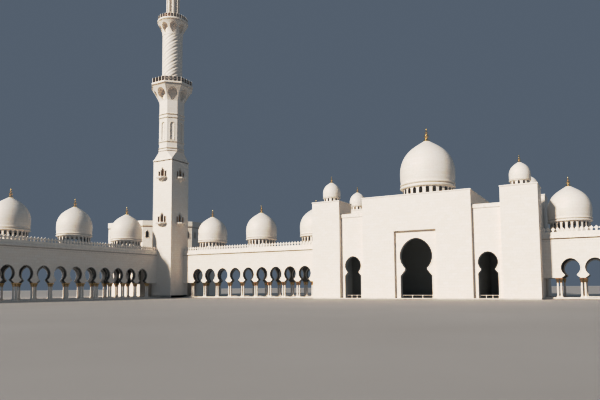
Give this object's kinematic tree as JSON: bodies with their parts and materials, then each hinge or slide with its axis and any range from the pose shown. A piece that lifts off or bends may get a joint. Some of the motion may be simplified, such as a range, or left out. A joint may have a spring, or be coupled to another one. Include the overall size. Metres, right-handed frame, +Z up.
{
  "type": "mosque building scale model",
  "caption": "White marble mosque at 1:10: domed arcade galleries meeting at a tall minaret, with a domed portal and a corner hall.",
  "frame": {"origin": "middle of the footprint's bounding box, at ground level", "axes": "+X runs along the portal front to the right, +Y from the courtyard into the building, +Z is up"},
  "size_m": [15.8664, 9.9864, 10.71],
  "materials": {
    "marble": "honed white marble cladding",
    "gilding": "gilded metal, softly polished",
    "paving": "polished pale stone paving"
  },
  "bodies": {
    "root": {"corner_dome": "marble", "corner_hall_floor": "paving", "corner_hall_roof": "marble", "corner_hall_walls": "marble", "east_dome": "marble", "east_end_wall": "marble", "east_floor": "paving", "east_front_arcade": "marble", "east_rear_arcade": "marble", "east_roof": "marble", "facade_dome_1": "marble", "facade_dome_2": "marble", "facade_dome_3": "marble", "facade_floor": "paving", "facade_front_arcade": "marble", "facade_rear_arcade": "marble", "facade_roof": "marble", "left_bay_front_wall": "marble", "left_bay_rear_wall": "marble", "left_bay_roof": "marble", "left_flank_wall": "marble", "left_front_tower": "marble", "left_front_tower_dome": "marble", "left_rear_tower": "marble", "left_rear_tower_dome": "marble", "minaret_cap": "gilding", "minaret_lantern": "marble", "minaret_lower_balcony": "marble", "minaret_lower_railing": "gilding", "minaret_octagon_shaft": "marble", "minaret_round_shaft": "marble", "minaret_square_shaft": "marble", "minaret_upper_balcony": "marble", "minaret_upper_railing": "gilding", "portal_dome": "marble", "portal_floor": "paving", "portal_front_wall": "marble", "portal_left_wall": "marble", "portal_rear_wall": "marble", "portal_right_wall": "marble", "portal_roof": "marble", "right_bay_front_wall": "marble", "right_bay_rear_wall": "marble", "right_bay_roof": "marble", "right_flank_wall": "marble", "right_front_tower": "marble", "right_front_tower_dome": "marble", "right_rear_tower": "marble", "right_rear_tower_dome": "marble", "wing_dome_1": "marble", "wing_dome_2": "marble", "wing_dome_3": "marble", "wing_end_wall": "marble", "wing_floor": "paving", "wing_front_arcade": "marble", "wing_rear_arcade": "marble", "wing_roof": "marble"}
  },
  "joints": []
}
